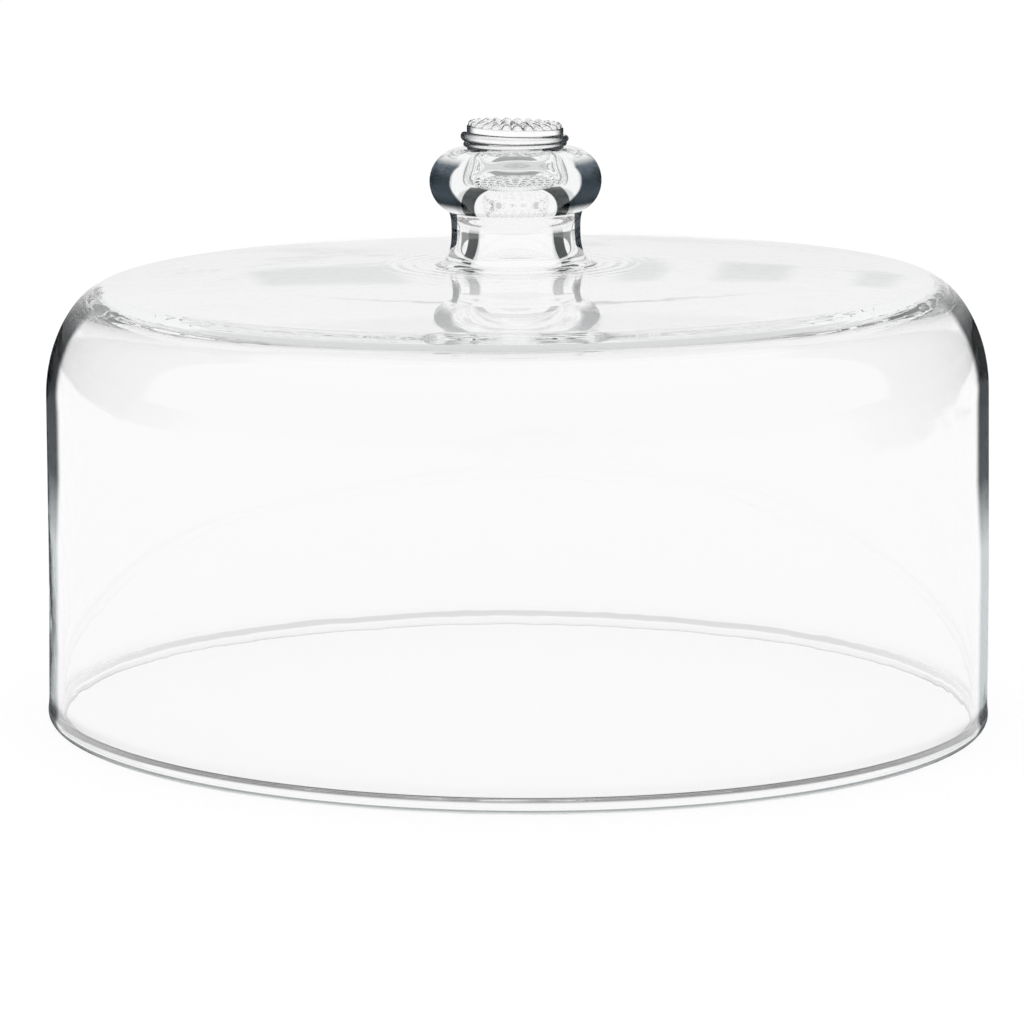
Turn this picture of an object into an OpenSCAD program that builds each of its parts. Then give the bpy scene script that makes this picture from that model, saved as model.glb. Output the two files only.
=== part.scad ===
// Mouth-blown glass cake dome: a straight-walled bell with a hollow knob sealed on its crown,
// a trailed glass thread wound round the knob's neck and a stamped berry prunt on top.
// The rim stands on the plane z = 0 and the axis of the bell is +Z.

/* [Bell] */
// Outside diameter at the rim lip
rim_d = 292; // [240:1:340]
// Height of the crown's outside where the knob is sealed on
bell_h = 140.5; // [115:0.5:180]
// Glass thickness of the wall
wall_t = 3; // [2.4:0.1:3.6]
// Glass thickness of the crown
crown_t = 4.2; // [3:0.1:6]
// How far the crown's edge lies below its middle
crown_rise = 4.8; // [2:0.2:8]
// Width of the rounded shoulder, measured across
shoulder_w = 18.7; // [14:0.1:26]
// Height of the rounded shoulder
shoulder_drop = 33.6; // [24:0.2:44]
// How far the wall leans in between the lip and the shoulder
wall_lean = 0.7; // [0:0.1:2]

/* [Lip] */
// How far the fire-polished lip stands out from the wall's outside
lip_out = 0.3; // [0:0.1:1]
// How far the lip's bead stands in from the wall's inside
lip_in = 1.9; // [0:0.1:2.4]
// Width of the flat ring that the bell rests on
rest_w = 1; // [0.4:0.1:1.8]
// Height at which the lip has run out into the wall's outside
lip_blend = 8; // [6:0.5:14]
// Height at which the lip's bead has run out into the wall's inside
bead_blend = 5.5; // [5:0.1:9]

/* [Knob] */
// Widest diameter of the knob's bulb
bulb_d = 52.8; // [48:0.2:60]
// Radius of the bulb's rounded side
bulb_round = 10.2; // [9.6:0.1:11]
// Narrowest diameter of the stem
stem_d = 39.6; // [36:0.2:41]
// Diameter of the foot that is sealed to the crown
foot_d = 50; // [46:0.5:60]
// Thickness of the foot at its edge
foot_edge = 0.4; // [0.2:0.1:0.8]
// Height of the stem's narrowest place above the crown
stem_waist_h = 10.3; // [8:0.1:12]
// Height of the bulb's widest place above the crown
bulb_mid_h = 25.6; // [24:0.1:28]
// Diameter of the neck above the bulb
neck_d = 29.6; // [28:0.2:32]
// Height of the bare neck between the bulb's top and the thread
neck_low = 0.5; // [0.2:0.1:4]

/* [Hollow of the knob] */
// Narrowest diameter of the hollow, inside the stem
bore_d = 23; // [18:0.2:25]
// Widest diameter of the hollow, inside the bulb
hollow_d = 28.6; // [26:0.2:31]
// Height of the hollow's ceiling above the crown
hollow_h = 26.6; // [24.6:0.2:29]
// Diameter of the hollow where it passes the crown's outside
mouth_d = 27; // [25:0.2:32]
// How far the hollow flares out inside the crown
mouth_flare = 7; // [4:0.2:10]

/* [Thread] */
// Thickness of the thread's blob, where it was laid on
thread_t = 3.5; // [2.8:0.1:3.6]
// Thickness of the thread's tail
tail_t = 1.3; // [1:0.1:1.6]
// Turns that the thread makes round the neck
thread_turns = 1.55; // [1.2:0.05:1.7]
// Height of the blob's middle below the neck's top
thread_down = 0.3; // [0:0.1:1.6]
// Clear gap between the blob and the turn below it
thread_gap = 0.35; // [0.1:0.05:1.5]

/* [Berry] */
// Height of the stamped pad at its middle
pad_h = 2.2; // [1.6:0.1:4]
// Lean of the pad's top towards +X, in degrees
pad_lean = 2.4; // [0:0.2:3]
// Diameter of a bead
bead_d = 3.2; // [2.6:0.1:3.6]
// Distance of the outer beads from the pad's edge
bead_edge = 0.1; // [0:0.1:1]
// Rings of beads round the middle one
bead_rings = 4; // [2:1:4]

/* [Hidden] */

$fn = 96;
// Steps in each rounded stretch of an outline
arc_steps = 24;
// Overrun of a cut past the piece that it cuts
over = 1;

// Shares of a stretch at which its curve's handles stand
shoulder_top_share = 0.44;
shoulder_side_share = 0.55;
inner_top_share = 0.5;
inner_side_share = 0.58;
lip_share = 0.5;
mouth_share = 0.55;
foot_share = 0.65;
stem_low_share = 0.7;
stem_high_share = 0.35;
ceiling_flat_share = 0.3;
ceiling_share = 0.75;
hollow_share = 0.5;
// Height of the hollow's widest place, as a share of the hollow's height
hollow_mid_share = 0.74;
// Distance of the thread's middle line from the neck, as a share of its thickness
thread_out_share = 0.3;
// Part of a turn over which the blob swells, and the share of its thickness that it starts with
blob_swell_share = 0.07;
blob_start_share = 0.45;
// How fast the thread thins from the blob to its tail
thin_power = 3;
// Height of a bead's middle above the pad, as a share of its diameter
bead_lift_share = -0.06;

lip_t = wall_t + lip_out + lip_in;
wall_low_r = rim_d / 2 - lip_out;
wall_top_r = wall_low_r - wall_lean;
crown_edge_r = wall_top_r - shoulder_w;
crown_edge_z = bell_h - crown_rise;
shoulder_z = crown_edge_z - shoulder_drop;
foot_r = foot_d / 2;
crown_slope = 2 * crown_rise / (crown_edge_r - foot_r);
inner_edge_r = crown_edge_r - (crown_t - wall_t);

lip_r = lip_t / 2;
lip_mid_r = (rim_d - lip_t) / 2;
rest_a = asin(rest_w / lip_t);
lip_mid_z = lip_r * cos(rest_a);
lip_half_z = lip_mid_z + (lip_blend - lip_mid_z) * lip_share;
bead_half_z = lip_mid_z + (bead_blend - lip_mid_z) * lip_share;

mouth_r = mouth_d / 2;
bore_r = bore_d / 2;
hollow_r = hollow_d / 2;
hollow_mid_h = hollow_h * hollow_mid_share;
// Slope of the hollow where it passes from the knob into the crown
mouth_run = mouth_flare * mouth_share;

stem_r = stem_d / 2;
neck_r = neck_d / 2;
bulb_mid_r = bulb_d / 2 - bulb_round;
crease_r = (stem_r + bulb_mid_r + bulb_round / 2) / 2;
crease_a = acos((crease_r - bulb_mid_r) / bulb_round);
crease_h = bulb_mid_h - bulb_round * sin(crease_a);
bulb_top_a = acos((neck_r - bulb_mid_r) / bulb_round);

thread_rings = 96;
thread_sides = 12;
// Thickness of the thread where its first turn ends, how far it sinks until there, and the neck that holds it
turn_t = thread_size(1 / thread_turns);
thread_pitch = thread_t / 2 + thread_gap + turn_t / 2;
neck_top_h = bulb_mid_h + bulb_round + neck_low + turn_t / 2 + thread_pitch + thread_down;

bead_pitch = (neck_r - bead_d / 2 - bead_edge) / bead_rings;

// Points of a cubic curve from a to d with handles b and c
function curve(a, b, c, d, n = arc_steps) = [
    for (i = [0:n])
        let (t = i / n, u = 1 - t)
            u * u * u * a + 3 * u * u * t * b + 3 * u * t * t * c + t * t * t * d
];

// Points of a circle's arc about c, from angle a0 to angle a1
function arc(c, r, a0, a1, n = arc_steps) = [
    for (i = [0:n])
        let (a = a0 + (a1 - a0) * i / n)
            c + r * [cos(a), sin(a)]
];

// Height of the crown's outside at a radius: flat under the knob's foot, then falling to the edge
function crown_z(r) =
    let (t = max(0, r - foot_r) / (crown_edge_r - foot_r))
        bell_h - crown_rise * t * t;

// Outline of half of the bell, from the knob's seat out and down, round the lip and back inside
function bell_outline() = concat(
    [[mouth_r, bell_h]],
    [
        for (i = [0:arc_steps])
            let (r = foot_r + (crown_edge_r - foot_r) * i / arc_steps)
                [r, crown_z(r)]
    ],
    curve(
        [crown_edge_r, crown_edge_z],
        [crown_edge_r, crown_edge_z] + shoulder_w * shoulder_top_share * [1, -crown_slope],
        [wall_top_r, shoulder_z + shoulder_drop * shoulder_side_share],
        [wall_top_r, shoulder_z]
    ),
    curve(
        [wall_low_r, lip_blend],
        [wall_low_r, lip_half_z],
        [rim_d / 2, lip_half_z],
        [rim_d / 2, lip_mid_z]
    ),
    arc([lip_mid_r, lip_mid_z], lip_r, 0, rest_a - 90),
    arc([lip_mid_r, lip_mid_z], lip_r, -90 - rest_a, -180),
    curve(
        [rim_d / 2 - lip_t, lip_mid_z],
        [rim_d / 2 - lip_t, bead_half_z],
        [wall_low_r - wall_t, bead_half_z],
        [wall_low_r - wall_t, bead_blend]
    ),
    curve(
        [wall_top_r - wall_t, shoulder_z],
        [wall_top_r - wall_t, shoulder_z + shoulder_drop * inner_side_share],
        [inner_edge_r, crown_z(inner_edge_r) - crown_t] + shoulder_w * inner_top_share * [1, -crown_slope],
        [inner_edge_r, crown_z(inner_edge_r) - crown_t]
    ),
    [
        for (i = [1:arc_steps])
            let (r = inner_edge_r + (foot_r - inner_edge_r) * i / arc_steps)
                [r, crown_z(r) - crown_t]
    ],
    curve(
        [mouth_r + mouth_flare, bell_h - crown_t],
        [mouth_r + mouth_flare - mouth_run, bell_h - crown_t],
        [mouth_r, bell_h] + crown_t * mouth_share * [(mouth_r - bore_r) / stem_waist_h, -1],
        [mouth_r, bell_h]
    )
);

// Outline of half of the knob's outside, from the seat on the crown up to the neck's top
function knob_outside() = concat(
    [[foot_r, 0]],
    curve(
        [foot_r, foot_edge],
        [foot_r - (foot_r - stem_r) * foot_share, foot_edge],
        [stem_r, stem_waist_h * (1 - stem_low_share)],
        [stem_r, stem_waist_h]
    ),
    curve(
        [stem_r, stem_waist_h],
        [stem_r, stem_waist_h + (crease_h - stem_waist_h) * stem_high_share],
        [crease_r, crease_h] - (crease_h - stem_waist_h) * stem_high_share * [stem_high_share, 1],
        [crease_r, crease_h]
    ),
    arc([bulb_mid_r, bulb_mid_h], bulb_round, -crease_a, bulb_top_a),
    [[neck_r, neck_top_h], [0, neck_top_h]]
);

// Outline of half of the knob's hollow, from its ceiling down to the crown
function knob_hollow() = concat(
    [[0, hollow_h]],
    curve(
        [hollow_r * ceiling_flat_share, hollow_h],
        [hollow_r * ceiling_flat_share + hollow_r * (1 - ceiling_flat_share) * ceiling_share, hollow_h],
        [hollow_r, hollow_mid_h + (hollow_h - hollow_mid_h) * ceiling_share],
        [hollow_r, hollow_mid_h]
    ),
    curve(
        [hollow_r, hollow_mid_h],
        [hollow_r, hollow_mid_h + (stem_waist_h - hollow_mid_h) * hollow_share],
        [bore_r, stem_waist_h + (hollow_mid_h - stem_waist_h) * hollow_share],
        [bore_r, stem_waist_h]
    ),
    curve(
        [bore_r, stem_waist_h],
        [bore_r, stem_waist_h * (1 - hollow_share)],
        [mouth_r, 0] + crown_t * mouth_share * [(bore_r - mouth_r) / stem_waist_h, 1],
        [mouth_r, 0]
    )
);

// Thickness of the thread at a share s of its length
function thread_size(s) =
    let (swell = min(1, blob_start_share + (1 - blob_start_share) * sqrt(s * thread_turns / blob_swell_share)))
        swell * (tail_t + (thread_t - tail_t) * pow(1 - s, thin_power));

// Height of the thread's middle line at a share s of its length
function thread_z(s) = bell_h + neck_top_h - thread_down - thread_pitch * min(1, s * thread_turns);

// Ring of points round the thread at a share s: a round back, closed flat against the neck
function thread_ring(s) =
    let (
        size = thread_size(s),
        turn = 180 + 360 * thread_turns * s,
        flat_r = neck_r / cos(180 * thread_turns / thread_rings),
        side_a = 180 - acos(2 * thread_out_share)
    ) [
        for (i = [0:thread_sides - 1])
            let (
                a = side_a * (2 * i / (thread_sides - 1) - 1),
                r = flat_r + size * thread_out_share + size / 2 * cos(a)
            )
                [r * cos(turn), r * sin(turn), thread_z(s) + size / 2 * sin(a)]
    ];

// Blown bell with its crown, shoulder, wall and lip
module dome_bell() {
    color([0.9, 0.94, 0.94, 0.35])
        rotate_extrude()
            polygon(bell_outline());
}

// Hollow knob: sealed foot, stem, bulb and solid neck
module knob_body() {
    color([0.88, 0.93, 0.93, 0.4])
        translate([0, 0, bell_h])
            rotate_extrude()
                polygon(concat(knob_outside(), knob_hollow()));
}

// Glass thread wound round the neck, thick where it starts and thin at its tail
module knob_thread() {
    rings = [for (i = [0:thread_rings]) thread_ring(i / thread_rings)];
    last = thread_rings * thread_sides;
    sides = [
        for (i = [0:thread_rings - 1])
            for (k = [0:thread_sides - 1])
                let (n = (k + 1) % thread_sides, a = i * thread_sides, b = a + thread_sides)
                    [a + k, a + n, b + n, b + k]
    ];
    start_cap = [for (k = [thread_sides - 1:-1:0]) k];
    end_cap = [for (k = [0:thread_sides - 1]) last + k];
    color([0.86, 0.91, 0.92, 0.45])
        polyhedron([for (ring = rings) each ring], concat([start_cap], sides, [end_cap]));
}

// One ring of beads on the pad
module bead_ring(number) {
    count = number == 0 ? 1 : floor(180 / asin(min(1, bead_d / 2 / (number * bead_pitch))));
    for (i = [0:count - 1])
        rotate([0, 0, 360 * (i + number / 2) / count])
            translate([number * bead_pitch, 0, bead_d * bead_lift_share])
                sphere(d = bead_d);
}

// Stamped prunt: a leaning pad with rings of beads like a berry
module berry_prunt() {
    color([0.86, 0.92, 0.92, 0.45])
        translate([0, 0, bell_h + neck_top_h])
            union() {
                difference() {
                    cylinder(r = neck_r, h = 2 * pad_h);
                    translate([0, 0, pad_h])
                        rotate([0, pad_lean, 0])
                            translate([0, 0, pad_h])
                                cube([neck_d + 2 * over, neck_d + 2 * over, 2 * pad_h], center = true);
                }
                difference() {
                    translate([0, 0, pad_h])
                        rotate([0, pad_lean, 0])
                            for (number = [0:bead_rings])
                                bead_ring(number);
                    translate([0, 0, -neck_top_h])
                        cylinder(r = neck_r + over, h = neck_top_h);
                }
            }
}

dome_bell();
knob_body();
knob_thread();
berry_prunt();
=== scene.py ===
import logging
import math
from dataclasses import dataclass, field
from enum import IntEnum
from typing import Callable, ClassVar

import bpy
from mathutils import Matrix, Vector, noise


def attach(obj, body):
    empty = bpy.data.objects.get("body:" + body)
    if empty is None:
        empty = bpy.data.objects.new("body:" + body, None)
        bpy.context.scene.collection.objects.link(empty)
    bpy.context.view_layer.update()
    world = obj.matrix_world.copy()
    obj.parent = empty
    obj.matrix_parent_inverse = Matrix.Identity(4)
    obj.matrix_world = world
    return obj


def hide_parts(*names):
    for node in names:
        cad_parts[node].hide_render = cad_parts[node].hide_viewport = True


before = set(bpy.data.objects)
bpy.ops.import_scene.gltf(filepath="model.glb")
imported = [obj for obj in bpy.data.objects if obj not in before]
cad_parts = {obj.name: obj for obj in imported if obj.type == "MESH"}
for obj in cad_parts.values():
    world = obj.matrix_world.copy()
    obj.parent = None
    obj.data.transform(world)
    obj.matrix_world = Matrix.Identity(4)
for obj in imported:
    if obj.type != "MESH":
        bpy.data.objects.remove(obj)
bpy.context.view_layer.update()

log = logging.getLogger("glass_cake_dome")

MM = 0.001
# How far the crown leans to the left, in height per width, and how far the knob sways with it, in width per height
LEAN = 0.015
SWAY = 0.0137
# Heights between which the lean comes in, and the height at which the sway starts, in millimetres
LEAN_FROM, LEAN_FULL = 4, 108
SWAY_FROM = 45
# Soda-lime glass
GLASS_IOR = 1.5
# Share of the crown's thickness that the wall of the hollow takes to run out into the bell's mouth
MOUTH_RUN = 0.55
# Upward share of a face's normal above which the face is flat
FLAT = 0.99
# Distances below this count as none
TOUCH = 1e-6
# Folds sharper than this stay hard edges, in degrees
CREASE = 32
# The Mix node's sockets for colours
MIX_SHARE, MIX_UNDER, MIX_OVER, MIX_RESULT = 0, 6, 7, 2
WHITE = (1.0, 1.0, 1.0, 1.0)
Point = tuple[float, float]
Colour = tuple[float, float, float, float]
Tree = bpy.types.NodeTree
Socket = bpy.types.NodeSocket


class Surface(IntEnum):
    """Material places of every glass piece."""

    CLEAR = 0
    SEAM = 1


def linear(code: str) -> Colour:
    """Turn an sRGB hex colour into Blender's linear colour.

    Args:
        code: The colour as "#RRGGBB".

    Returns:
        Red, green, blue and alpha for a colour socket.
    """
    parts = [int(code[i:i + 2], 16) / 255 for i in (1, 3, 5)]
    lit = [c / 12.92 if c <= 0.04045 else ((c + 0.055) / 1.055) ** 2.4 for c in parts]
    return (*lit, 1.0)


def add_node(tree: Tree, kind: str, inputs: dict | None = None, **settings: object) -> bpy.types.Node:
    """Add a node with its settings, its constants and its links.

    Args:
        tree: The node tree that takes the node.
        kind: Blender's name for the node type.
        inputs: Values or output sockets by the name or number of the input.
        **settings: Properties of the node itself.

    Returns:
        The new node.
    """
    node = tree.nodes.new(kind)
    for name, value in settings.items():
        setattr(node, name, value)
    for key, value in (inputs or {}).items():
        if isinstance(value, Socket):
            tree.links.new(value, node.inputs[key])
        else:
            node.inputs[key].default_value = value
    return node


def cubic(start: Point, pull_a: Point, pull_b: Point, end: Point, steps: int) -> list[Point]:
    """Points of a cubic curve.

    Args:
        start: First point, in millimetres.
        pull_a: Handle of the first point.
        pull_b: Handle of the last point.
        end: Last point.
        steps: Number of stretches.

    Returns:
        The points from start to end.
    """
    found = []
    for i in range(steps + 1):
        t = i / steps
        u = 1 - t
        share = (u * u * u, 3 * u * u * t, 3 * u * t * t, t * t * t)
        found.append(tuple(sum(w * p[k] for w, p in zip(share, (start, pull_a, pull_b, end))) for k in (0, 1)))
    return found


def arc(middle: Point, radius: float, first: float, last: float, steps: int) -> list[Point]:
    """Points of a circle's arc.

    Args:
        middle: Centre of the circle, in millimetres.
        radius: Radius of the circle.
        first: Angle of the first point, in radians.
        last: Angle of the last point.
        steps: Number of stretches.

    Returns:
        The points of the arc.
    """
    turns = [first + (last - first) * i / steps for i in range(steps + 1)]
    return [(middle[0] + radius * math.cos(a), middle[1] + radius * math.sin(a)) for a in turns]


def straight(start: Point, end: Point, steps: int) -> list[Point]:
    """Points of a straight stretch, both ends included."""
    return [tuple(start[k] + (end[k] - start[k]) * i / steps for k in (0, 1)) for i in range(steps + 1)]


def chain(*runs: list[Point]) -> list[Point]:
    """Join stretches of an outline into one, with each shared end kept once.

    Args:
        *runs: Stretches in order, each starting where the last one ended.

    Returns:
        The joined points.
    """
    joined: list[Point] = []
    for run in runs:
        for point in run:
            if not joined or math.dist(point, joined[-1]) > TOUCH:
                joined.append(point)
    return joined


def fade(value: float, low: float, high: float) -> float:
    """Smooth step from 0 at low to 1 at high."""
    t = min(1.0, max(0.0, (value - low) / (high - low)))
    return t * t * (3 - 2 * t)


@dataclass(frozen=True)
class PaintedEdgeShade:
    """Painted shade at the glass's edge at one height, where it is seen edge on, in place of the dark surroundings
    that the edge mirrors.

    Attributes:
        height: Height above the table, in millimetres.
        start: Layer Weight at which the painted shade starts.
        tone: Colour of the painted shade.
    """

    height: float
    start: float
    tone: str


@dataclass(frozen=True)
class BlownGlass:
    """Soda-lime glass, blown and fire-polished: clear and bright, with painted shade where it is seen edge on, in
    place of the dark surroundings that its edges mirror.

    Attributes:
        name: Name of the material.
        painted_edge_shades: Painted edge shade at each of some heights, from the lowest up.
        soft: Layer Weight over which the painted edge shade comes in.
        lie_from: Upward share of a surface's normal at which its painted edge shade starts to go.
        lie_full: Upward share at which it has no painted edge shade.
        clear: Colour of the glass seen straight on.
        ripple: Width of the faint ripples of the blown surface, in millimetres.
        ripple_depth: Depth of the ripples, in millimetres.
        reach: Height that the ramps of the painted edge shades span, in millimetres.
    """

    name: str
    painted_edge_shades: tuple[PaintedEdgeShade, ...]
    soft: float = 0.05
    lie_from: float = 2.0
    lie_full: float = 3.0
    clear: str = "#FCFCFC"
    ripple: float = 9.0
    ripple_depth: float = 0.02
    reach: float = 200.0

    def ramp(self, tree: Tree, share: Socket, colours: list[Colour]) -> Socket:
        """Ramp through one value for each painted edge shade.

        Args:
            tree: Tree of the glass.
            share: Socket with the height as a share of the reach.
            colours: Value of each painted edge shade.

        Returns:
            Socket with the value at that height.
        """
        node = add_node(tree, "ShaderNodeValToRGB", {0: share})
        while len(node.color_ramp.elements) > 1:
            node.color_ramp.elements.remove(node.color_ramp.elements[0])
        for number, (painted_edge_shade, colour) in enumerate(zip(self.painted_edge_shades, colours)):
            place = painted_edge_shade.height / self.reach
            stop = node.color_ramp.elements[0] if number == 0 else node.color_ramp.elements.new(place)
            stop.position, stop.color = place, colour
        return node.outputs["Color"]

    def painted_edge_shade(self, tree: Tree, share: Socket) -> Socket:
        """How much of the painted edge shade shows at a point.

        Args:
            tree: Tree of the glass.
            share: Socket with the height as a share of the reach.

        Returns:
            Socket that is 1 in the painted edge shade and 0 in the clear glass.
        """
        facing = add_node(tree, "ShaderNodeLayerWeight", {"Blend": 0.5})
        start = self.ramp(tree, share, [(b.start, b.start, b.start, 1.0) for b in self.painted_edge_shades])
        end = add_node(tree, "ShaderNodeMath", {0: start, 1: self.soft}, operation="ADD")
        turned = add_node(
            tree, "ShaderNodeMapRange",
            {"Value": facing.outputs["Facing"], "From Min": start, "From Max": end.outputs[0]},
            interpolation_type="SMOOTHSTEP",
        )
        geometry = add_node(tree, "ShaderNodeNewGeometry")
        place = add_node(tree, "ShaderNodeTexCoord")
        across = add_node(
            tree, "ShaderNodeVectorMath", {0: place.outputs["Object"], 1: (1.0, 1.0, 0.0)}, operation="MULTIPLY"
        )
        outward = add_node(
            tree, "ShaderNodeVectorMath", {0: across.outputs[0], 1: geometry.outputs["Normal"]},
            operation="DOT_PRODUCT",
        )
        outside = add_node(tree, "ShaderNodeMath", {0: outward.outputs["Value"], 1: 0.0}, operation="GREATER_THAN")
        front = add_node(
            tree, "ShaderNodeMath", {0: outside.outputs[0], 1: geometry.outputs["Backfacing"]}, operation="SUBTRACT",
            use_clamp=True,
        )
        parts = add_node(tree, "ShaderNodeSeparateXYZ", {0: geometry.outputs["Normal"]})
        rise = add_node(tree, "ShaderNodeMath", {0: parts.outputs["Z"]}, operation="ABSOLUTE")
        upright = add_node(
            tree, "ShaderNodeMapRange",
            {
                "Value": rise.outputs[0], "From Min": self.lie_from, "From Max": self.lie_full,
                "To Min": 1.0, "To Max": 0.0,
            },
            interpolation_type="SMOOTHSTEP",
        )
        seen = add_node(
            tree, "ShaderNodeMath", {0: turned.outputs["Result"], 1: front.outputs[0]}, operation="MULTIPLY"
        )
        return add_node(
            tree, "ShaderNodeMath", {0: seen.outputs[0], 1: upright.outputs["Result"]}, operation="MULTIPLY"
        ).outputs[0]

    def material(self) -> bpy.types.Material:
        """Make the glass as a material."""
        material = bpy.data.materials.new(self.name)
        material.use_nodes = True
        tree = material.node_tree
        clear = tree.nodes["Principled BSDF"]
        place = add_node(tree, "ShaderNodeTexCoord")
        # Blown glass is never quite even: ripples a centimetre wide and hundredths deep bend what is behind it
        ripples = add_node(
            tree, "ShaderNodeTexNoise",
            {"Vector": place.outputs["Object"], "Scale": 1 / (self.ripple * MM), "Detail": 1.0, "Roughness": 0.4},
        )
        bump = add_node(
            tree, "ShaderNodeBump",
            {"Height": ripples.outputs["Fac"], "Strength": 1.0, "Distance": self.ripple_depth * MM},
        )
        tree.links.new(bump.outputs["Normal"], clear.inputs["Normal"])
        clear.inputs["Base Color"].default_value = linear(self.clear)
        clear.inputs["Roughness"].default_value = 0.0
        clear.inputs["IOR"].default_value = GLASS_IOR
        clear.inputs["Transmission Weight"].default_value = 1.0
        # Painted shade: where the glass is seen edge on, a dark tone set by height is mixed in, in place of the dark
        # surroundings that the edges mirror
        spot = add_node(tree, "ShaderNodeSeparateXYZ", {0: place.outputs["Object"]})
        share = add_node(
            tree, "ShaderNodeMath", {0: spot.outputs["Z"], 1: self.reach * MM}, operation="DIVIDE"
        ).outputs[0]
        dark = add_node(
            tree, "ShaderNodeBsdfRefraction",
            {
                "Color": self.ramp(tree, share, [linear(b.tone) for b in self.painted_edge_shades]),
                "Roughness": 0.0, "IOR": GLASS_IOR, "Normal": bump.outputs["Normal"],
            },
        )
        whole = add_node(
            tree, "ShaderNodeMixShader", {0: self.painted_edge_shade(tree, share), 1: clear.outputs[0], 2: dark.outputs[0]}
        )
        tree.links.new(whole.outputs[0], tree.nodes["Material Output"].inputs["Surface"])
        return material


@dataclass(frozen=True)
class FusedSeam:
    """Where two lumps were joined hot the glass runs on without a surface, so light passes unbent.

    Attributes:
        name: Name of the material.
        clear: Colour of the glass in the joint.
    """

    name: str = "fused_glass_joint"
    clear: str = "#FCFCFC"

    def material(self) -> bpy.types.Material:
        """Make the joint's see-through surface as a material."""
        material = bpy.data.materials.new(self.name)
        material.use_nodes = True
        shader = material.node_tree.nodes["Principled BSDF"]
        shader.inputs["Base Color"].default_value = linear(self.clear)
        shader.inputs["Roughness"].default_value = 0.0
        shader.inputs["IOR"].default_value = GLASS_IOR
        shader.inputs["Alpha"].default_value = 0.0
        return material


@dataclass
class GlassPiece:
    """A lump of glass that stands for one node of the solid model."""

    node: ClassVar[str] = ""
    slot: ClassVar[str] = ""
    turns: ClassVar[int] = 240

    def spin(self, outline: list[Point], closed: bool) -> bpy.types.Object:
        """Turn an outline about the axis, as a blower turns the pipe.

        Args:
            outline: Radius and height of each point, in millimetres.
            closed: Whether the last point joins the first; otherwise both ends lie on the axis.

        Returns:
            The closed, smooth mesh object.
        """
        bpy.ops.object.select_all(action="DESELECT")
        bpy.ops.mesh.primitive_circle_add(vertices=len(outline), radius=1.0)
        piece = bpy.context.object
        piece.name = piece.data.name = f"{self.node}_glass"
        for vertex, (radius, height) in zip(piece.data.vertices, outline):
            vertex.co = (radius * MM, 0.0, height * MM)
        last = len(outline) - 1
        bpy.ops.object.mode_set(mode="EDIT")
        bpy.ops.mesh.select_mode(type="EDGE")
        if not closed:
            bpy.ops.mesh.select_all(action="DESELECT")
            bpy.ops.object.mode_set(mode="OBJECT")
            for edge in piece.data.edges:
                edge.select = set(edge.vertices) == {0, last}
            bpy.ops.object.mode_set(mode="EDIT")
            bpy.ops.mesh.delete(type="EDGE_FACE")
        bpy.ops.mesh.select_all(action="SELECT")
        bpy.ops.mesh.spin(steps=self.turns, angle=math.tau, center=(0, 0, 0), axis=(0, 0, 1))
        bpy.ops.mesh.select_all(action="SELECT")
        bpy.ops.mesh.remove_doubles(threshold=TOUCH)
        bpy.ops.mesh.normals_make_consistent(inside=False)
        bpy.ops.object.mode_set(mode="OBJECT")
        return piece

    def finish_mesh(self, piece: bpy.types.Object, seam: Callable[[Vector, Vector], bool]) -> None:
        """Smooth a mesh and mark the faces that are joined to another lump.

        Args:
            piece: The mesh object.
            seam: Test of a face's middle and normal, both in metres, that is true in a joint.
        """
        bpy.ops.object.select_all(action="DESELECT")
        piece.select_set(True)
        bpy.context.view_layer.objects.active = piece
        bpy.ops.object.shade_smooth_by_angle(angle=math.radians(CREASE))
        for face in piece.data.polygons:
            face.material_index = Surface.SEAM if seam(face.center, face.normal) else Surface.CLEAR

    def sag(self, piece: bpy.types.Object) -> None:
        """Set a piece a little askew, as the hot dome sank to one side.

        Args:
            piece: The mesh object.
        """
        for vertex in piece.data.vertices:
            x, _, z = vertex.co / MM
            vertex.co.z += LEAN * x * fade(z, LEAN_FROM, LEAN_FULL) * MM
            vertex.co.x -= SWAY * max(0.0, z - SWAY_FROM) * MM

    def dress(self, piece: bpy.types.Object, glass: BlownGlass, joint: bpy.types.Material) -> None:
        """Give a piece its glass, its body and the node that it stands for.

        Args:
            piece: The mesh object.
            glass: Its finish.
            joint: The see-through surface of the hot joints.
        """
        self.sag(piece)
        marks = [face.material_index for face in piece.data.polygons]
        piece.data.materials.append(glass.material())
        piece.data.materials.append(joint)
        for face, mark in zip(piece.data.polygons, marks):
            face.material_index = mark
        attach(piece, "root")
        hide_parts(self.node)
        log.info("%s: %d faces", piece.name, len(piece.data.polygons))


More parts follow.
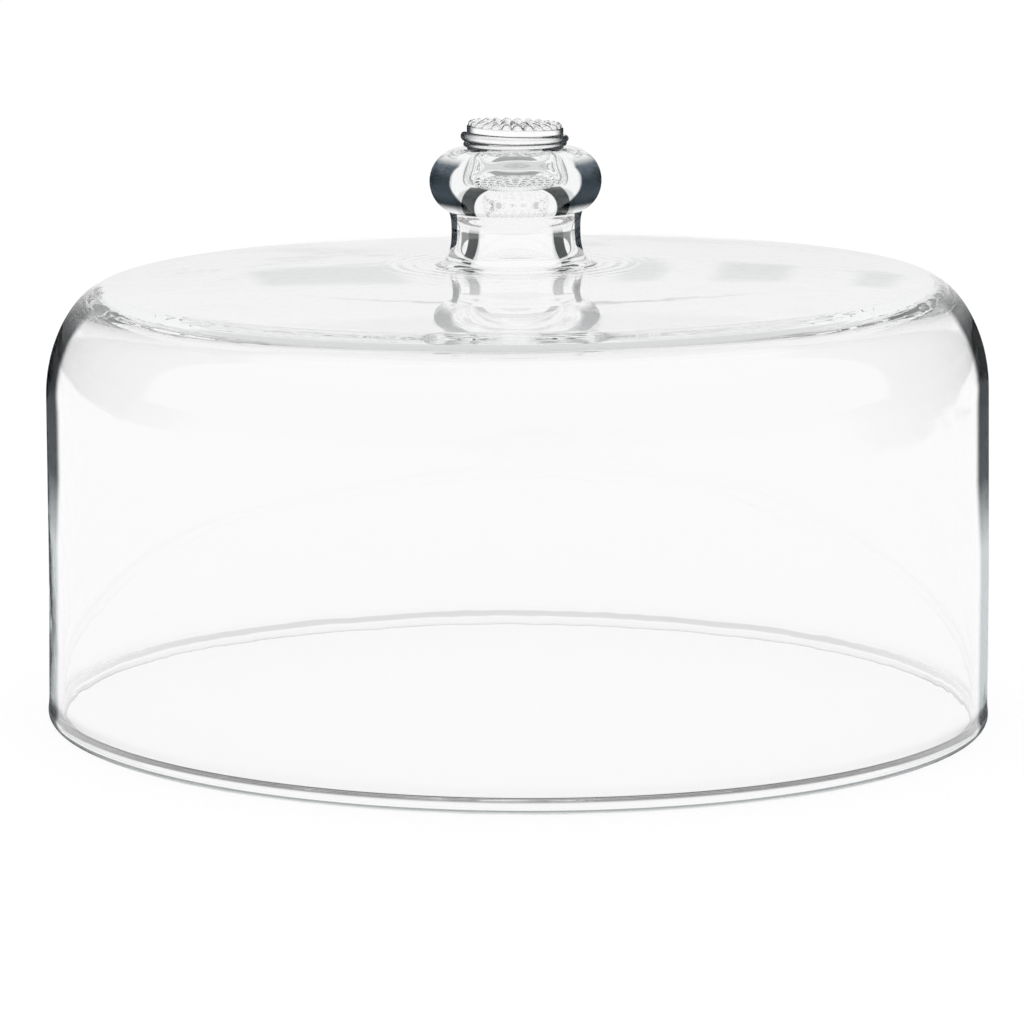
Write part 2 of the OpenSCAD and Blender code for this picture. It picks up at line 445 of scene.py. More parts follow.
@dataclass
class DomeBell(GlassPiece):
    """The blown bell: crown, shoulder, wall and fire-polished lip."""

    node: ClassVar[str] = "dome_bell"
    slot: ClassVar[str] = "bell_glass"

    rim_d: float = 292
    height: float = 140.5
    wall_t: float = 3
    crown_t: float = 4.2
    crown_rise: float = 4.8
    shoulder_w: float = 18.7
    shoulder_drop: float = 33.6
    wall_lean: float = 0.7
    lip_swell: float = 2.2
    lip_out: float = 0.3
    rest_w: float = 1
    lip_blend: float = 8
    bead_blend: float = 5.5
    foot_d: float = 50
    mouth_d: float = 27
    mouth_flare: float = 7
    bore_d: float = 23
    waist_h: float = 10.3
    # Pulls of the curves' handles, as shares of the stretch that each one spans
    shoulder_out: float = 0.44
    shoulder_down: float = 0.55
    shoulder_in: float = 0.5
    shoulder_up: float = 0.58
    mouth_pull: float = 0.45
    # Waves of the blown wall, deeper inside than outside, with finer ones on them, and none near the knob or the lip
    wave_depth: float = 0.05
    wave_length: float = 46
    wave_stretch: float = 0.6
    wave_inside: float = 1.6
    wave_outside: float = 0.5
    fine_share: float = 0.25
    fine_length: float = 0.4
    fine_stretch: float = 0.8
    fine_shift: tuple[float, float, float] = (7.3, 1.9, 4.1)
    calm_w: float = 12
    calm_low: float = 1.5
    calm_high: float = 9
    # Rings in the crown round the knob's foot, which die away
    ripple_r: float = 46
    ripple_depth: float = 0.02
    ripple_length: float = 4.3
    ripple_full_w: float = 8
    # Upward shares of the normal on the crown's outside, and below which a face looks down
    crown_up: float = 0.9
    inner_down: float = -0.5

    @property
    def wall_low_r(self) -> float:
        """Outside radius of the wall just above the lip."""
        return self.rim_d / 2 - self.lip_out

    @property
    def wall_top_r(self) -> float:
        """Outside radius of the wall at the shoulder."""
        return self.wall_low_r - self.wall_lean

    @property
    def crown_edge_r(self) -> float:
        """Radius at which the crown turns into the shoulder."""
        return self.wall_top_r - self.shoulder_w

    @property
    def shoulder_z(self) -> float:
        """Height at which the wall turns into the shoulder."""
        return self.height - self.crown_rise - self.shoulder_drop

    def crown_z(self, radius: float) -> float:
        """Height of the crown's outside at a radius."""
        share = max(0.0, radius - self.foot_d / 2) / (self.crown_edge_r - self.foot_d / 2)
        return self.height - self.crown_rise * share * share

    def outline(self) -> list[Point]:
        """Half of the bell's section, from the knob's seat round the lip and back inside.

        Returns:
            Radius and height of each point, in millimetres.
        """
        foot_r, mouth_r = self.foot_d / 2, self.mouth_d / 2
        wall_top, wall_low, rim_r = self.wall_top_r, self.wall_low_r, self.rim_d / 2
        lip_t = self.wall_t + self.lip_swell
        lip_r, lip_mid_r = lip_t / 2, rim_r - lip_t / 2
        rest_a = math.asin(self.rest_w / lip_t)
        lip_z = lip_r * math.cos(rest_a)
        edge_r, edge_z = self.crown_edge_r, self.height - self.crown_rise
        slope = 2 * self.crown_rise / (edge_r - foot_r)
        inner_r = edge_r - (self.crown_t - self.wall_t)
        inner_z = self.crown_z(inner_r) - self.crown_t
        top, side = self.shoulder_w, self.shoulder_drop
        under = self.height - self.crown_t
        return chain(
            straight((mouth_r, self.height), (foot_r, self.height), 8),
            [(r, self.crown_z(r)) for r, _ in straight((foot_r, 0), (self.ripple_r, 0), 40)],
            [(r, self.crown_z(r)) for r, _ in straight((self.ripple_r, 0), (edge_r, 0), 32)],
            cubic((edge_r, edge_z), (edge_r + top * self.shoulder_out, edge_z - top * self.shoulder_out * slope),
                  (wall_top, self.shoulder_z + side * self.shoulder_down), (wall_top, self.shoulder_z), 40),
            straight((wall_top, self.shoulder_z), (wall_low, self.lip_blend), 40),
            cubic((wall_low, self.lip_blend), (wall_low, self.lip_blend / 2),
                  (rim_r, self.lip_blend / 2), (rim_r, lip_z), 14),
            arc((lip_mid_r, lip_z), lip_r, 0, rest_a - math.pi / 2, 12),
            arc((lip_mid_r, lip_z), lip_r, -math.pi / 2 - rest_a, -math.pi, 12),
            cubic((rim_r - lip_t, lip_z), (rim_r - lip_t, (lip_z + self.bead_blend) / 2),
                  (wall_low - self.wall_t, (lip_z + self.bead_blend) / 2),
                  (wall_low - self.wall_t, self.bead_blend), 16),
            straight((wall_low - self.wall_t, self.bead_blend), (wall_top - self.wall_t, self.shoulder_z), 40),
            cubic((wall_top - self.wall_t, self.shoulder_z),
                  (wall_top - self.wall_t, self.shoulder_z + side * self.shoulder_up),
                  (inner_r + top * self.shoulder_in, inner_z - top * self.shoulder_in * slope),
                  (inner_r, inner_z), 40),
            [(r, self.crown_z(r) - self.crown_t) for r, _ in straight((inner_r, 0), (foot_r, 0), 44)],
            straight((foot_r, under), (mouth_r + self.mouth_flare, under), 3),
            cubic((mouth_r + self.mouth_flare, under), (mouth_r + self.mouth_flare * self.mouth_pull, under),
                  (mouth_r + self.crown_t * MOUTH_RUN * (mouth_r - self.bore_d / 2) / self.waist_h,
                   self.height - self.crown_t * MOUTH_RUN),
                  (mouth_r, self.height), 20)[:-1],
        )

    def wave(self, place: Vector, normal: Vector) -> float:
        """Depth of the blown waves at a point of the bell.

        Args:
            place: Point of the surface, in metres.
            normal: Its normal.

        Returns:
            How far the surface lies out from its round shape, in millimetres.
        """
        x, y, z = place / MM
        radius, foot_r = math.hypot(x, y), self.foot_d / 2
        inward = normal.x * x + normal.y * y < 0 or normal.z < self.inner_down
        calm = fade(radius, foot_r, foot_r + self.calm_w) * fade(z, self.calm_low, self.calm_high)
        long = noise.noise(Vector((x, y, z * self.wave_stretch)) / self.wave_length)
        fine = noise.noise(
            Vector((x, y, z * self.fine_stretch)) / (self.wave_length * self.fine_length) + Vector(self.fine_shift)
        )
        ring = 0.0
        if normal.z > self.crown_up and radius > foot_r:
            ring = self.ripple_depth * math.sin(math.tau * (radius - foot_r) / self.ripple_length)
            ring *= 1 - fade(radius, foot_r + self.ripple_full_w, self.ripple_r)
        share = self.wave_inside if inward else self.wave_outside
        return calm * self.wave_depth * (share * long + self.fine_share * fine) + ring

    def build(self) -> bpy.types.Object:
        """Blow the bell.

        Returns:
            The mesh object.
        """
        piece = self.spin(self.outline(), closed=True)
        moves = [vertex.normal * self.wave(vertex.co, vertex.normal) * MM for vertex in piece.data.vertices]
        for vertex, move in zip(piece.data.vertices, moves):
            vertex.co += move
        seat_z, seat_r = self.height * MM, self.foot_d / 2 * MM
        self.finish_mesh(
            piece,
            lambda middle, normal: normal.z > FLAT
            and abs(middle.z - seat_z) < TOUCH
            and middle.xy.length < seat_r,
        )
        return piece


@dataclass
class KnobBody(GlassPiece):
    """The hollow knob: sealed foot, waisted stem, round bulb and solid neck."""

    node: ClassVar[str] = "knob_body"
    slot: ClassVar[str] = "knob_glass"
    turns: ClassVar[int] = 300

    seat_z: float = 140.5
    bulb_d: float = 52.8
    bulb_round: float = 10.2
    stem_d: float = 39.6
    foot_d: float = 50
    foot_edge: float = 0.4
    waist_h: float = 10.3
    bulb_mid_h: float = 25.6
    neck_d: float = 29.6
    neck_top_h: float = 40.1
    bore_d: float = 23
    hollow_d: float = 28.6
    hollow_h: float = 26.6
    mouth_d: float = 27
    crown_t: float = 4.2
    # Height of the hollow's widest place and width of its flat ceiling, as shares of its height and width
    hollow_mid: float = 0.74
    hollow_flat: float = 0.3
    # Pulls of the curves' handles, as shares of the stretch that each one spans
    hollow_pull: float = 0.75
    foot_pull: float = 0.65
    stem_pull: float = 0.3
    crease_pull: float = 0.35

    @property
    def neck_r(self) -> float:
        """Radius of the neck."""
        return self.neck_d / 2

    @property
    def top_z(self) -> float:
        """Height of the neck's top above the table."""
        return self.seat_z + self.neck_top_h

    def outline(self) -> list[Point]:
        """Half of the knob's section, from the hollow's ceiling down, round the foot and up to the neck's top.

        Returns:
            Radius and height above the table of each point, in millimetres.
        """
        foot_r, stem_r, mouth_r = self.foot_d / 2, self.stem_d / 2, self.mouth_d / 2
        bore_r, hollow_r = self.bore_d / 2, self.hollow_d / 2
        mid_h = self.hollow_h * self.hollow_mid
        bulb_mid_r = self.bulb_d / 2 - self.bulb_round
        crease_r = (stem_r + bulb_mid_r + self.bulb_round / 2) / 2
        crease_a = math.acos((crease_r - bulb_mid_r) / self.bulb_round)
        crease_h = self.bulb_mid_h - self.bulb_round * math.sin(crease_a)
        top_a = math.acos((self.neck_r - bulb_mid_r) / self.bulb_round)
        neck_low_h = self.bulb_mid_h + self.bulb_round * math.sin(top_a)
        rise = (crease_h - self.waist_h) * self.crease_pull
        flat_r = hollow_r * self.hollow_flat
        points = chain(
            straight((0, self.hollow_h), (flat_r, self.hollow_h), 12),
            cubic((flat_r, self.hollow_h), (flat_r + (hollow_r - flat_r) * self.hollow_pull, self.hollow_h),
                  (hollow_r, mid_h + (self.hollow_h - mid_h) * self.hollow_pull), (hollow_r, mid_h), 32),
            cubic((hollow_r, mid_h), (hollow_r, (mid_h + self.waist_h) / 2),
                  (bore_r, (mid_h + self.waist_h) / 2), (bore_r, self.waist_h), 28),
            cubic((bore_r, self.waist_h), (bore_r, self.waist_h / 2),
                  (mouth_r + self.crown_t * MOUTH_RUN * (bore_r - mouth_r) / self.waist_h, self.crown_t * MOUTH_RUN),
                  (mouth_r, 0), 24),
            straight((mouth_r, 0), (foot_r, 0), 8),
            straight((foot_r, 0), (foot_r, self.foot_edge), 2),
            cubic((foot_r, self.foot_edge), (foot_r - (foot_r - stem_r) * self.foot_pull, self.foot_edge),
                  (stem_r, self.waist_h * self.stem_pull), (stem_r, self.waist_h), 34),
            cubic((stem_r, self.waist_h), (stem_r, self.waist_h + rise),
                  (crease_r - rise * self.crease_pull, crease_h - rise), (crease_r, crease_h), 22),
            arc((bulb_mid_r, self.bulb_mid_h), self.bulb_round, -crease_a, top_a, 60),
            straight((self.neck_r, neck_low_h), (self.neck_r, self.neck_top_h), 30),
            straight((self.neck_r, self.neck_top_h), (0, self.neck_top_h), 6),
        )
        return [(radius, self.seat_z + height) for radius, height in points]

    def build(self, thread: "KnobThread") -> bpy.types.Object:
        """Blow the knob.

        Args:
            thread: The thread that is laid on the neck.

        Returns:
            The mesh object.
        """
        piece = self.spin(self.outline(), closed=False)
        low, high = self.seat_z * MM, self.top_z * MM
        self.finish_mesh(
            piece,
            lambda middle, normal: (normal.z < -FLAT and abs(middle.z - low) < TOUCH)
            or (normal.z > FLAT and abs(middle.z - high) < TOUCH)
            or thread.covers(middle),
        )
        return piece


@dataclass
class KnobThread(GlassPiece):
    """The glass thread wound round the neck, thick where it was laid on and thin at its tail."""

    node: ClassVar[str] = "knob_thread"
    slot: ClassVar[str] = "thread_glass"
    rings: ClassVar[int] = 220
    sides: ClassVar[int] = 28
    flat_sides: ClassVar[int] = 6
    # Share of the grid that each rounded end takes, and the distance within which its points are one, in metres
    cap: ClassVar[float] = 0.02
    cap_touch: ClassVar[float] = 2e-6
    # How far from the neck a face still lies on it, for the neck's faces and for the thread's own, in millimetres
    neck_near: ClassVar[float] = 0.05
    thread_near: ClassVar[float] = 0.02

    knob: KnobBody = field(default_factory=KnobBody)
    blob_t: float = 3.5
    tail_t: float = 1.3
    wraps: float = 1.55
    down: float = 0.3
    gap: float = 0.35
    out_share: float = 0.3
    swell_share: float = 0.07
    start_share: float = 0.45

    def size(self, along: float) -> float:
        """Thickness of the thread at a share of its length."""
        swell = min(1.0, self.start_share + (1 - self.start_share) * math.sqrt(along * self.wraps / self.swell_share))
        return swell * (self.tail_t + (self.blob_t - self.tail_t) * (1 - along) ** 3)

    def height(self, along: float) -> float:
        """Height of the thread's middle line above the table at a share of its length."""
        pitch = self.blob_t / 2 + self.gap + self.size(1 / self.wraps) / 2
        return self.knob.top_z - self.down - pitch * min(1.0, along * self.wraps)

    def covers(self, middle: Vector) -> bool:
        """Whether the thread lies on a point of the neck or of the pad's side.

        Args:
            middle: The point, in metres.

        Returns:
            True under the thread's flat inner side.
        """
        if abs(middle.xy.length / MM - self.knob.neck_r) > self.neck_near:
            return False
        turn = (math.atan2(middle.y, middle.x) - math.pi) % math.tau
        for wrap in (0, 1):
            along = (turn / math.tau + wrap) / self.wraps
            if along <= 1:
                half = self.size(along) * math.sqrt(0.25 - self.out_share ** 2)
                if abs(middle.z / MM - self.height(along)) < half:
                    return True
        return False

    def build(self) -> bpy.types.Object:
        """Trail the thread: a grid rolled into a tube and wound round the neck.

        Returns:
            The mesh object.
        """
        bpy.ops.object.select_all(action="DESELECT")
        bpy.ops.mesh.primitive_grid_add(x_subdivisions=self.rings, y_subdivisions=self.sides, size=2.0)
        piece = bpy.context.object
        piece.name = piece.data.name = f"{self.node}_glass"
        side_a = math.pi - math.acos(2 * self.out_share)
        flat_share = self.flat_sides / self.sides
        for vertex in piece.data.vertices:
            run, round_share = (vertex.co.x + 1) / 2, (vertex.co.y + 1) / 2
            along = min(1.0, max(0.0, (run - self.cap) / (1 - 2 * self.cap)))
            close = min(1.0, run / self.cap, (1 - run) / self.cap)
            scale = math.sqrt(max(0.0, 1 - (1 - close) ** 2))
            size = self.size(along)
            if round_share <= 1 - flat_share:
                angle = side_a * (2 * round_share / (1 - flat_share) - 1)
                out, up = self.out_share + math.cos(angle) / 2, math.sin(angle) / 2
            else:
                back = (round_share - 1 + flat_share) / flat_share
                out, up = 0.0, math.sin(side_a) / 2 * (1 - 2 * back)
            beyond = (1 - close) * size / 2 * (-1 if run < 0.5 else 1)
            turn = math.pi + math.tau * self.wraps * along + beyond / self.knob.neck_r
            radius = self.knob.neck_r + size * out * scale
            vertex.co = (
                radius * math.cos(turn) * MM,
                radius * math.sin(turn) * MM,
                (self.height(along) + size * up * scale) * MM,
            )
        bpy.ops.object.mode_set(mode="EDIT")
        bpy.ops.mesh.select_all(action="SELECT")
        bpy.ops.mesh.remove_doubles(threshold=self.cap_touch)
        bpy.ops.mesh.normals_make_consistent(inside=False)
        bpy.ops.object.mode_set(mode="OBJECT")
        inner = (self.knob.neck_r + self.thread_near) * MM
        self.finish_mesh(piece, lambda middle, normal: middle.xy.length < inner)
        return piece


@dataclass
class BerryPrunt(GlassPiece):
    """The pad on top, stamped with rings of beads like a berry."""

    node: ClassVar[str] = "berry_prunt"
    slot: ClassVar[str] = "prunt_glass"
    turns: ClassVar[int] = 320
    # Shares of the pad's height up to which a point belongs to its bottom, and from which to its top
    bottom_share: ClassVar[float] = 1e-4
    top_share: ClassVar[float] = 0.999

    knob: KnobBody = field(default_factory=KnobBody)
    pad_h: float = 2.2
    lean: float = math.radians(2.4)
    bead_d: float = 3.2
    bead_edge: float = 0.1
    bead_rings: int = 4
    bead_lift: float = -0.06
    pad_round: float = 0.5

    def beads(self) -> list[Point]:
        """Places of the beads on the pad.

        Returns:
            Distance to the right and to the back of each bead, in millimetres.
        """
        pitch = (self.knob.neck_r - self.bead_d / 2 - self.bead_edge) / self.bead_rings
        found = [(0.0, 0.0)]
        for number in range(1, self.bead_rings + 1):
            radius = number * pitch
            count = math.floor(math.pi / math.asin(min(1.0, self.bead_d / 2 / radius)))
            for i in range(count):
                turn = math.tau * (i + number / 2) / count
                found.append((radius * math.cos(turn), radius * math.sin(turn)))
        return found

    def build(self, thread: KnobThread) -> bpy.types.Object:
        """Stamp the berry.

        Args:
            thread: The thread that touches the pad's side.

        Returns:
            The mesh object.
        """
        edge_r, low, bend = self.knob.neck_r, self.knob.top_z, self.pad_round
        outline = chain(
            straight((0, low + self.pad_h), (edge_r - bend, low + self.pad_h), 84),
            arc((edge_r - bend, low + self.pad_h - bend), bend, math.pi / 2, 0, 6),
            straight((edge_r, low + self.pad_h - bend), (edge_r, low), 12),
            straight((edge_r, low), (0, low), 6),
        )
        piece = self.spin(outline, closed=False)
        beads, radius = self.beads(), self.bead_d / 2
        lift = self.bead_lift * self.bead_d
        for vertex in piece.data.vertices:
            x, y, z = vertex.co / MM
            share = (z - low) / self.pad_h
            if share < self.bottom_share:
                continue
            raised = 0.0
            if share > self.top_share:
                near = min((x - bx) ** 2 + (y - by) ** 2 for bx, by in beads)
                if near < radius * radius:
                    raised = max(0.0, math.sqrt(radius * radius - near) + lift)
            vertex.co.z = (z - x * math.tan(self.lean) * share + raised) * MM
        base = low * MM
        self.finish_mesh(
            piece,
            lambda middle, normal: (normal.z < -FLAT and abs(middle.z - base) < TOUCH) or thread.covers(middle),
        )
        return piece


@dataclass(frozen=True)
class Span:
    """Range of an angle with soft ends, in degrees.

    Attributes:
        low: Lower end.
        high: Upper end.
        soft: Half the width of the soft ends.
    """

    low: float
    high: float
    soft: float


@dataclass(frozen=True)
class Trip:
    """Sockets that tell what a ray met on its way: all but the last are 1 for their rays and 0 for others.

    Attributes:
        mirrored: Rays that were mirrored anywhere.
        within: Rays that have passed into glass.
        across: Rays that have crossed to another glass wall.
        inside: Rays that were mirrored within one wall.
        outside: Rays that were mirrored off the outside.
        beyond: Rays that were mirrored and have crossed to another wall.
        stretch: Length of the ray's last stretch, in metres.
    """

    mirrored: Socket
    within: Socket
    across: Socket
    inside: Socket
    outside: Socket
    beyond: Socket
    stretch: Socket


@dataclass
class Studio:
    """White table, soft light all round and the camera of the photograph.

    Bearings run from the middle of the back to the right, and rises from the horizon up.
    """

    # Counts of mirrors or of passes through a surface: into one wall and out again is two
    some: ClassVar[float] = 0.5
    one_wall: ClassVar[float] = 3.5

    # The room that the glass mirrors within its walls: soft boxes, with a dark gap on either side
    room_tone: str = "#F9FAFA"
    gap_turn: Span = Span(31, 77, 2)
    gap_rise: Span = Span(-90, 52, 4)
    gap_tone: str = "#222A2A"
    back_turn: Span = Span(-90, 31, 2)
    back_tones: tuple[tuple[Span, str], ...] = ((Span(15, 46, 2), "#D7D8D8"), (Span(46, 75, 2), "#959797"))
    top_rise: Span = Span(40, 99, 3)
    top_tone: str = "#C4C5C5"
    # What its outside mirrors: the back wall, a row of flags and the rail above them
    wall_rise: Span = Span(-2, 34, 6)
    wall_tone: str = "#ECECEC"
    flags: tuple[Span, ...] = (Span(-4.0, -1.8, 0.2), Span(1.06, 1.7, 0.2), Span(2.55, 3.65, 0.2), Span(4.7, 5.3, 0.2))
    flag_rise: Span = Span(6.6, 9.6, 0.5)
    flag_tone: str = "#CBCDCD"
    rail_turn: Span = Span(-2.4, 2.4, 1.6)
    rail_rise: Span = Span(13.75, 14.05, 0.12)
    rail_bow: float = 0.2
    rail_tone: str = "#7C7E7E"
    # The table, in metres, and how bright its far part and the strip under the lip look in the glass
    table_r: float = 6.0
    table_sides: int = 96
    far_from: float = 0.8
    far_full: float = 0.86
    far_gap_tone: str = "#303234"
    far_turn: Span = Span(-95, 95, 10)
    far_light: float = 0.2
    far_light_across: float = 0.85
    lip_from: float = 0.004
    lip_full: float = 0.009
    lip_closer: float = 0.2
    lip_light: float = 0.15
    lip_light_across: float = 0.75
    glow: float = 0.9
    lacquer: str = "#616161"
    # The camera, in metres, radians and millimetres
    camera_away: float = 1.5633
    camera_up: float = 0.3287
    camera_tilt: float = 0.1684
    camera_yaw: float = 0.00143
    camera_roll: float = 0.005
    camera_clip: tuple[float, float] = (0.05, 50.0)
    lens: float = 179.75
    sensor: float = 36.0
    # Light goes through many walls and mirrors before it leaves the knob
    bounces: int = 256
    seam_bounces: int = 64

    def band(self, tree: Tree, angle: Socket, span: Span) -> Socket:
        """Mask of a range of angles.

        Args:
            tree: Tree of the shader.
            angle: Angle in radians.
            span: The range.

        Returns:
            Socket that is 1 within the range and 0 outside.
        """
        ends = [
            add_node(
                tree, "ShaderNodeMapRange",
                {
                    "Value": angle, "From Min": math.radians(edge - span.soft),
                    "From Max": math.radians(edge + span.soft),
                },
                interpolation_type="SMOOTHSTEP",
            ).outputs["Result"]
            for edge in (span.low, span.high)
        ]
        return add_node(tree, "ShaderNodeMath", {0: ends[0], 1: ends[1]}, operation="SUBTRACT").outputs[0]

    def lay(self, tree: Tree, under: Colour | Socket, over: Colour | Socket, *masks: Socket) -> Socket:
        """Lay one colour over another where all the masks meet.

        Args:
            tree: Tree of the shader.
            under: The lower colour.
            over: The upper colour.
            *masks: One mask or more.

        Returns:
            Socket with the colour.
        """
        share = masks[0]
        for mask in masks[1:]:
            share = add_node(tree, "ShaderNodeMath", {0: share, 1: mask}, operation="MULTIPLY").outputs[0]
        return add_node(
            tree, "ShaderNodeMix", {MIX_SHARE: share, MIX_UNDER: under, MIX_OVER: over}, data_type="RGBA"
        ).outputs[MIX_RESULT]

    def bearing(self, tree: Tree, vector: Socket) -> Socket:
        """Bearing of a direction or place, in radians."""
        parts = add_node(tree, "ShaderNodeSeparateXYZ", {0: vector})
        return add_node(
            tree, "ShaderNodeMath", {0: parts.outputs["X"], 1: parts.outputs["Y"]}, operation="ARCTAN2"
        ).outputs[0]

    def gap(self, tree: Tree, vector: Socket) -> Socket:
        """Mask of the directions or places in the dark gaps between the soft boxes behind the table and beside it."""
        side = add_node(tree, "ShaderNodeMath", {0: self.bearing(tree, vector)}, operation="ABSOLUTE")
        return self.band(tree, side.outputs[0], self.gap_turn)

    def trip(self, tree: Tree) -> Trip:
        """Sockets that tell what a ray met on its way."""
        path = add_node(tree, "ShaderNodeLightPath")
        passes = path.outputs["Transmission Depth"]
        mirrored, within, across = (
            add_node(tree, "ShaderNodeMath", {0: count, 1: limit}, operation="GREATER_THAN").outputs[0]
            for count, limit in (
                (path.outputs["Glossy Depth"], self.some), (passes, self.some), (passes, self.one_wall),
            )
        )
        wall = add_node(tree, "ShaderNodeMath", {0: within, 1: across}, operation="SUBTRACT")
        air = add_node(tree, "ShaderNodeMath", {0: passes, 1: self.some}, operation="LESS_THAN")
        inside, outside, beyond = (
            add_node(tree, "ShaderNodeMath", {0: mirrored, 1: kind}, operation="MULTIPLY").outputs[0]
            for kind in (wall.outputs[0], air.outputs[0], across)
        )
        return Trip(mirrored, within, across, inside, outside, beyond, path.outputs["Ray Length"])

    def light_world(self) -> None:
        """White to the eye and through the glass; soft boxes with dark gaps where the glass mirrors the room."""
        world = bpy.data.worlds.new("soft_studio")
        world.use_nodes = True
        tree = world.node_tree
        tree.nodes.clear()
        place = add_node(tree, "ShaderNodeTexCoord").outputs["Generated"]
        parts = add_node(tree, "ShaderNodeSeparateXYZ", {0: place})
        rise = add_node(tree, "ShaderNodeMath", {0: parts.outputs["Z"]}, operation="ARCSINE").outputs[0]
        turn = self.bearing(tree, place)
        side = add_node(tree, "ShaderNodeMath", {0: turn}, operation="ABSOLUTE").outputs[0]
        trip = self.trip(tree)
        # The box at the back is bright only low down: above it the room is dim, and the ceiling darker still
        back = self.band(tree, side, self.back_turn)
        room = linear(self.room_tone)
        for span, tone in self.back_tones:
            room = self.lay(tree, room, linear(tone), back, self.band(tree, rise, span))
        room = self.lay(
            tree, room, linear(self.gap_tone), self.gap(tree, place), self.band(tree, rise, self.gap_rise)
        )
        # The back wall, the edges of its flags and the rail above them lie faintly on the crown
        wall = self.lay(tree, WHITE, linear(self.wall_tone), self.band(tree, rise, self.wall_rise))
        row = self.band(tree, rise, self.flag_rise)
        for flag in self.flags:
            wall = self.lay(tree, wall, linear(self.flag_tone), self.band(tree, turn, flag), row)
        # The rail bows down to both sides by so many degrees for each degree squared
        square = add_node(tree, "ShaderNodeMath", {0: turn, 1: 2.0}, operation="POWER")
        bow = add_node(
            tree, "ShaderNodeMath", {0: square.outputs[0], 1: self.rail_bow * math.degrees(1.0), 2: rise},
            operation="MULTIPLY_ADD",
        )
        wall = self.lay(
            tree, wall, linear(self.rail_tone),
            self.band(tree, bow.outputs[0], self.rail_rise), self.band(tree, turn, self.rail_turn),
        )
        seen = self.lay(tree, WHITE, room, trip.inside)
        seen = self.lay(tree, seen, linear(self.top_tone), trip.beyond, self.band(tree, rise, self.top_rise))
        seen = self.lay(tree, seen, wall, trip.outside)
        shade = add_node(tree, "ShaderNodeBackground", {"Color": seen, "Strength": 1.0})
        add_node(tree, "ShaderNodeOutputWorld", {"Surface": shade.outputs[0]})
        bpy.context.scene.world = world

    def lay_table(self) -> None:
        """Lay the pale table top, which keeps a faint shadow of the dome."""
        bpy.ops.object.select_all(action="DESELECT")
        bpy.ops.mesh.primitive_circle_add(vertices=self.table_sides, radius=self.table_r, fill_type="NGON")
        table = bpy.context.object
        table.name = "white_table"
        # Lacquered board: even and white to the eye, with no gloss to mirror the glass
        material = bpy.data.materials.new("white_lacquered_table")
        material.use_nodes = True
        tree = material.node_tree
        tree.nodes.clear()
        place = add_node(tree, "ShaderNodeTexCoord").outputs["Object"]
        trip = self.trip(tree)
        # Hardly any light gets under the lip, so glass that all but touches the table shows it dark;
        # a ray mirrored within the lip counts as closer than one that only passes through
        closer = add_node(
            tree, "ShaderNodeMath", {0: trip.inside, 1: self.lip_closer - 1, 2: 1.0}, operation="MULTIPLY_ADD"
        )
        stretch = add_node(tree, "ShaderNodeMath", {0: trip.stretch, 1: closer.outputs[0]}, operation="MULTIPLY")
        lip, dim = (
            add_node(
                tree, "ShaderNodeMath", {0: trip.across, 1: across - near, 2: near}, operation="MULTIPLY_ADD"
            ).outputs[0]
            for near, across in (
                (self.lip_light, self.lip_light_across), (self.far_light, self.far_light_across),
            )
        )
        close = add_node(
            tree, "ShaderNodeMapRange",
            {"Value": stretch.outputs[0], "From Min": self.lip_from, "From Max": self.lip_full, "To Min": lip},
            interpolation_type="SMOOTHSTEP",
        )
        tone = self.lay(tree, WHITE, close.outputs["Result"], trip.within)
        # The far part of the table lies out of the light
        reach = add_node(tree, "ShaderNodeVectorMath", {0: place}, operation="LENGTH")
        far = add_node(
            tree, "ShaderNodeMapRange",
            {"Value": reach.outputs["Value"], "From Min": self.far_from, "From Max": self.far_full},
        ).outputs["Result"]
        behind = self.band(tree, self.bearing(tree, place), self.far_turn)
        tone = self.lay(tree, tone, dim, trip.mirrored, trip.within, far, behind)
        tone = self.lay(tree, tone, linear(self.far_gap_tone), trip.inside, far, self.gap(tree, place))
        glow = add_node(tree, "ShaderNodeEmission", {"Color": tone, "Strength": self.glow})
        lacquer = add_node(tree, "ShaderNodeBsdfDiffuse", {"Color": linear(self.lacquer)})
        top = add_node(tree, "ShaderNodeAddShader", {0: glow.outputs[0], 1: lacquer.outputs[0]})
        add_node(tree, "ShaderNodeOutputMaterial", {"Surface": top.outputs[0]})
        table.data.materials.append(material)

    def set_camera(self) -> None:
        """Stand the camera where the photograph was taken from."""
        data = bpy.data.cameras.new("photograph")
        data.lens, data.sensor_width = self.lens, self.sensor
        data.clip_start, data.clip_end = self.camera_clip
        camera = bpy.data.objects.new("photograph", data)
        bpy.context.scene.collection.objects.link(camera)
        turn = (
            Matrix.Rotation(self.camera_yaw, 4, "Z")
            @ Matrix.Rotation(math.pi / 2 - self.camera_tilt, 4, "X")
            @ Matrix.Rotation(self.camera_roll, 4, "Z")
        )
        camera.matrix_world = Matrix.Translation((0, -self.camera_away, self.camera_up)) @ turn
        bpy.context.scene.camera = camera

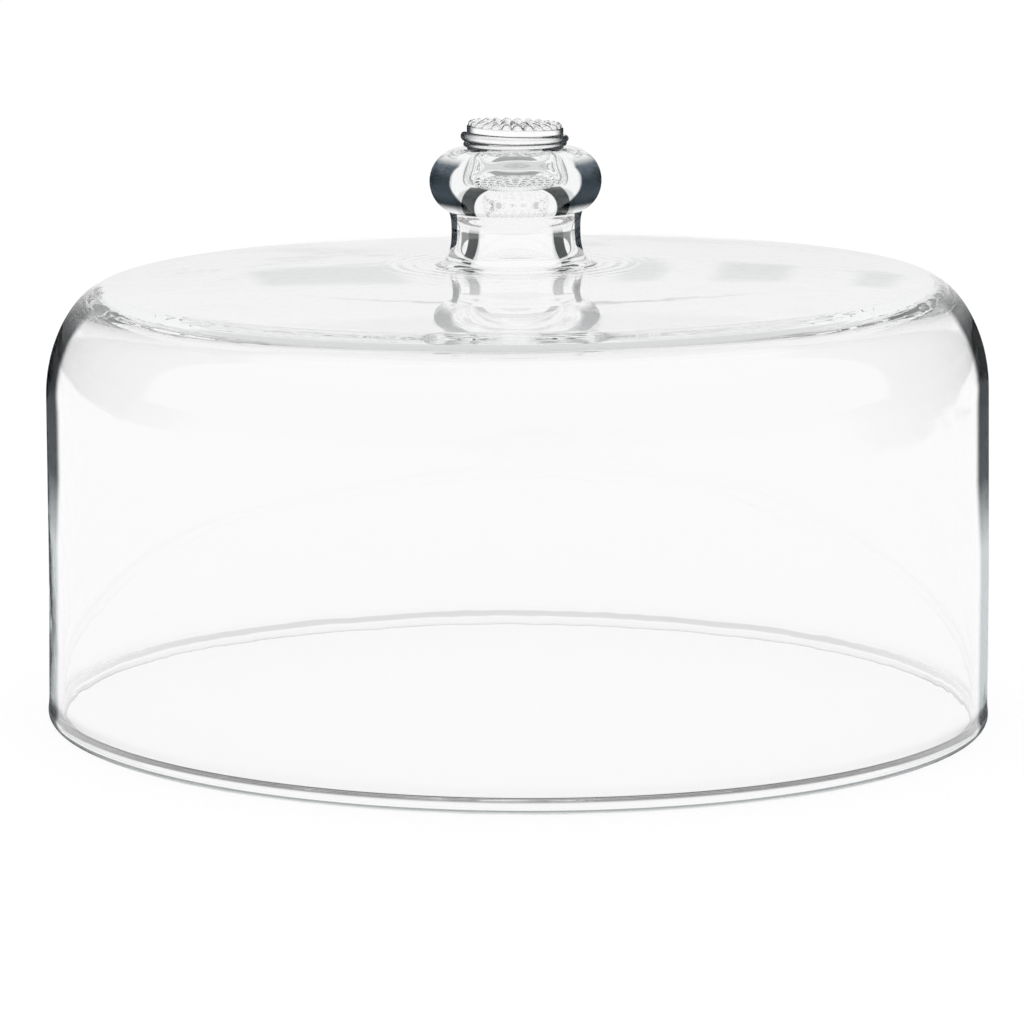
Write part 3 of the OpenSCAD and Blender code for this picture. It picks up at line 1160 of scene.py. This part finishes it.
    def build(self) -> None:
        """Set up the whole studio."""
        scene = bpy.context.scene
        scene.view_settings.view_transform = "Standard"
        scene.cycles.max_bounces = self.bounces
        scene.cycles.transmission_bounces = self.bounces
        scene.cycles.glossy_bounces = self.bounces
        scene.cycles.transparent_max_bounces = self.seam_bounces
        self.light_world()
        self.lay_table()
        self.set_camera()


# Painted edge shade of each glass: the height of each in millimetres, the Layer Weight at which it starts, and its
# tone
BELL_GLASS = BlownGlass(
    "blown_soda_lime_bell",
    (
        PaintedEdgeShade(0, 0.05, "#B0B4B5"), PaintedEdgeShade(1.6, 0.05, "#B0B4B5"), PaintedEdgeShade(2.1, 0.78, "#8A8E90"),
        PaintedEdgeShade(6, 0.78, "#8A8E90"), PaintedEdgeShade(9, 0.79, "#CDD2D3"), PaintedEdgeShade(58, 0.79, "#CDD2D3"),
        PaintedEdgeShade(80, 0.76, "#5A5E60"), PaintedEdgeShade(108, 0.76, "#4C4F51"), PaintedEdgeShade(126, 0.73, "#5C5E5F"),
    ),
    lie_from=0.45, lie_full=0.93, ripple=10.0, ripple_depth=0.022,
)
# Painted shade on the knob: dark crescents and bands down its sides, set by height
KNOB_GLASS = BlownGlass(
    "blown_soda_lime_knob",
    (
        PaintedEdgeShade(144, 1.0, "#565C61"), PaintedEdgeShade(147, 0.57, "#4A5055"), PaintedEdgeShade(156.5, 0.57, "#565C61"),
        PaintedEdgeShade(158, 0.55, "#343C42"), PaintedEdgeShade(160.5, 0.37, "#343C42"), PaintedEdgeShade(163, 0.33, "#454E55"),
        PaintedEdgeShade(168, 0.33, "#3A434A"), PaintedEdgeShade(172, 0.36, "#69727A"), PaintedEdgeShade(174.6, 0.5, "#8A9297"),
        PaintedEdgeShade(176, 0.15, "#5A5E60"),
    ),
    soft=0.04, lie_from=0.55, lie_full=0.85,
)
# Painted shade on the thread and the berry: darker where they are seen edge on
THREAD_GLASS = BlownGlass("trailed_soda_lime_thread", (PaintedEdgeShade(180, 0.2, "#4A4E50"),), soft=0.4)
BERRY_GLASS = BlownGlass("stamped_soda_lime_berry", (PaintedEdgeShade(180, 0.4, "#3A3E40"),), soft=0.3)


def main() -> None:
    """Build the dome and the studio."""
    logging.basicConfig(level=logging.INFO, format="%(message)s")
    joint = FusedSeam().material()
    bell, knob = DomeBell(), KnobBody()
    thread, berry = KnobThread(knob=knob), BerryPrunt(knob=knob)
    bell.dress(bell.build(), BELL_GLASS, joint)
    knob.dress(knob.build(thread), KNOB_GLASS, joint)
    thread.dress(thread.build(), THREAD_GLASS, joint)
    berry.dress(berry.build(thread), BERRY_GLASS, joint)
    Studio().build()


if __name__ == "__main__":
    main()
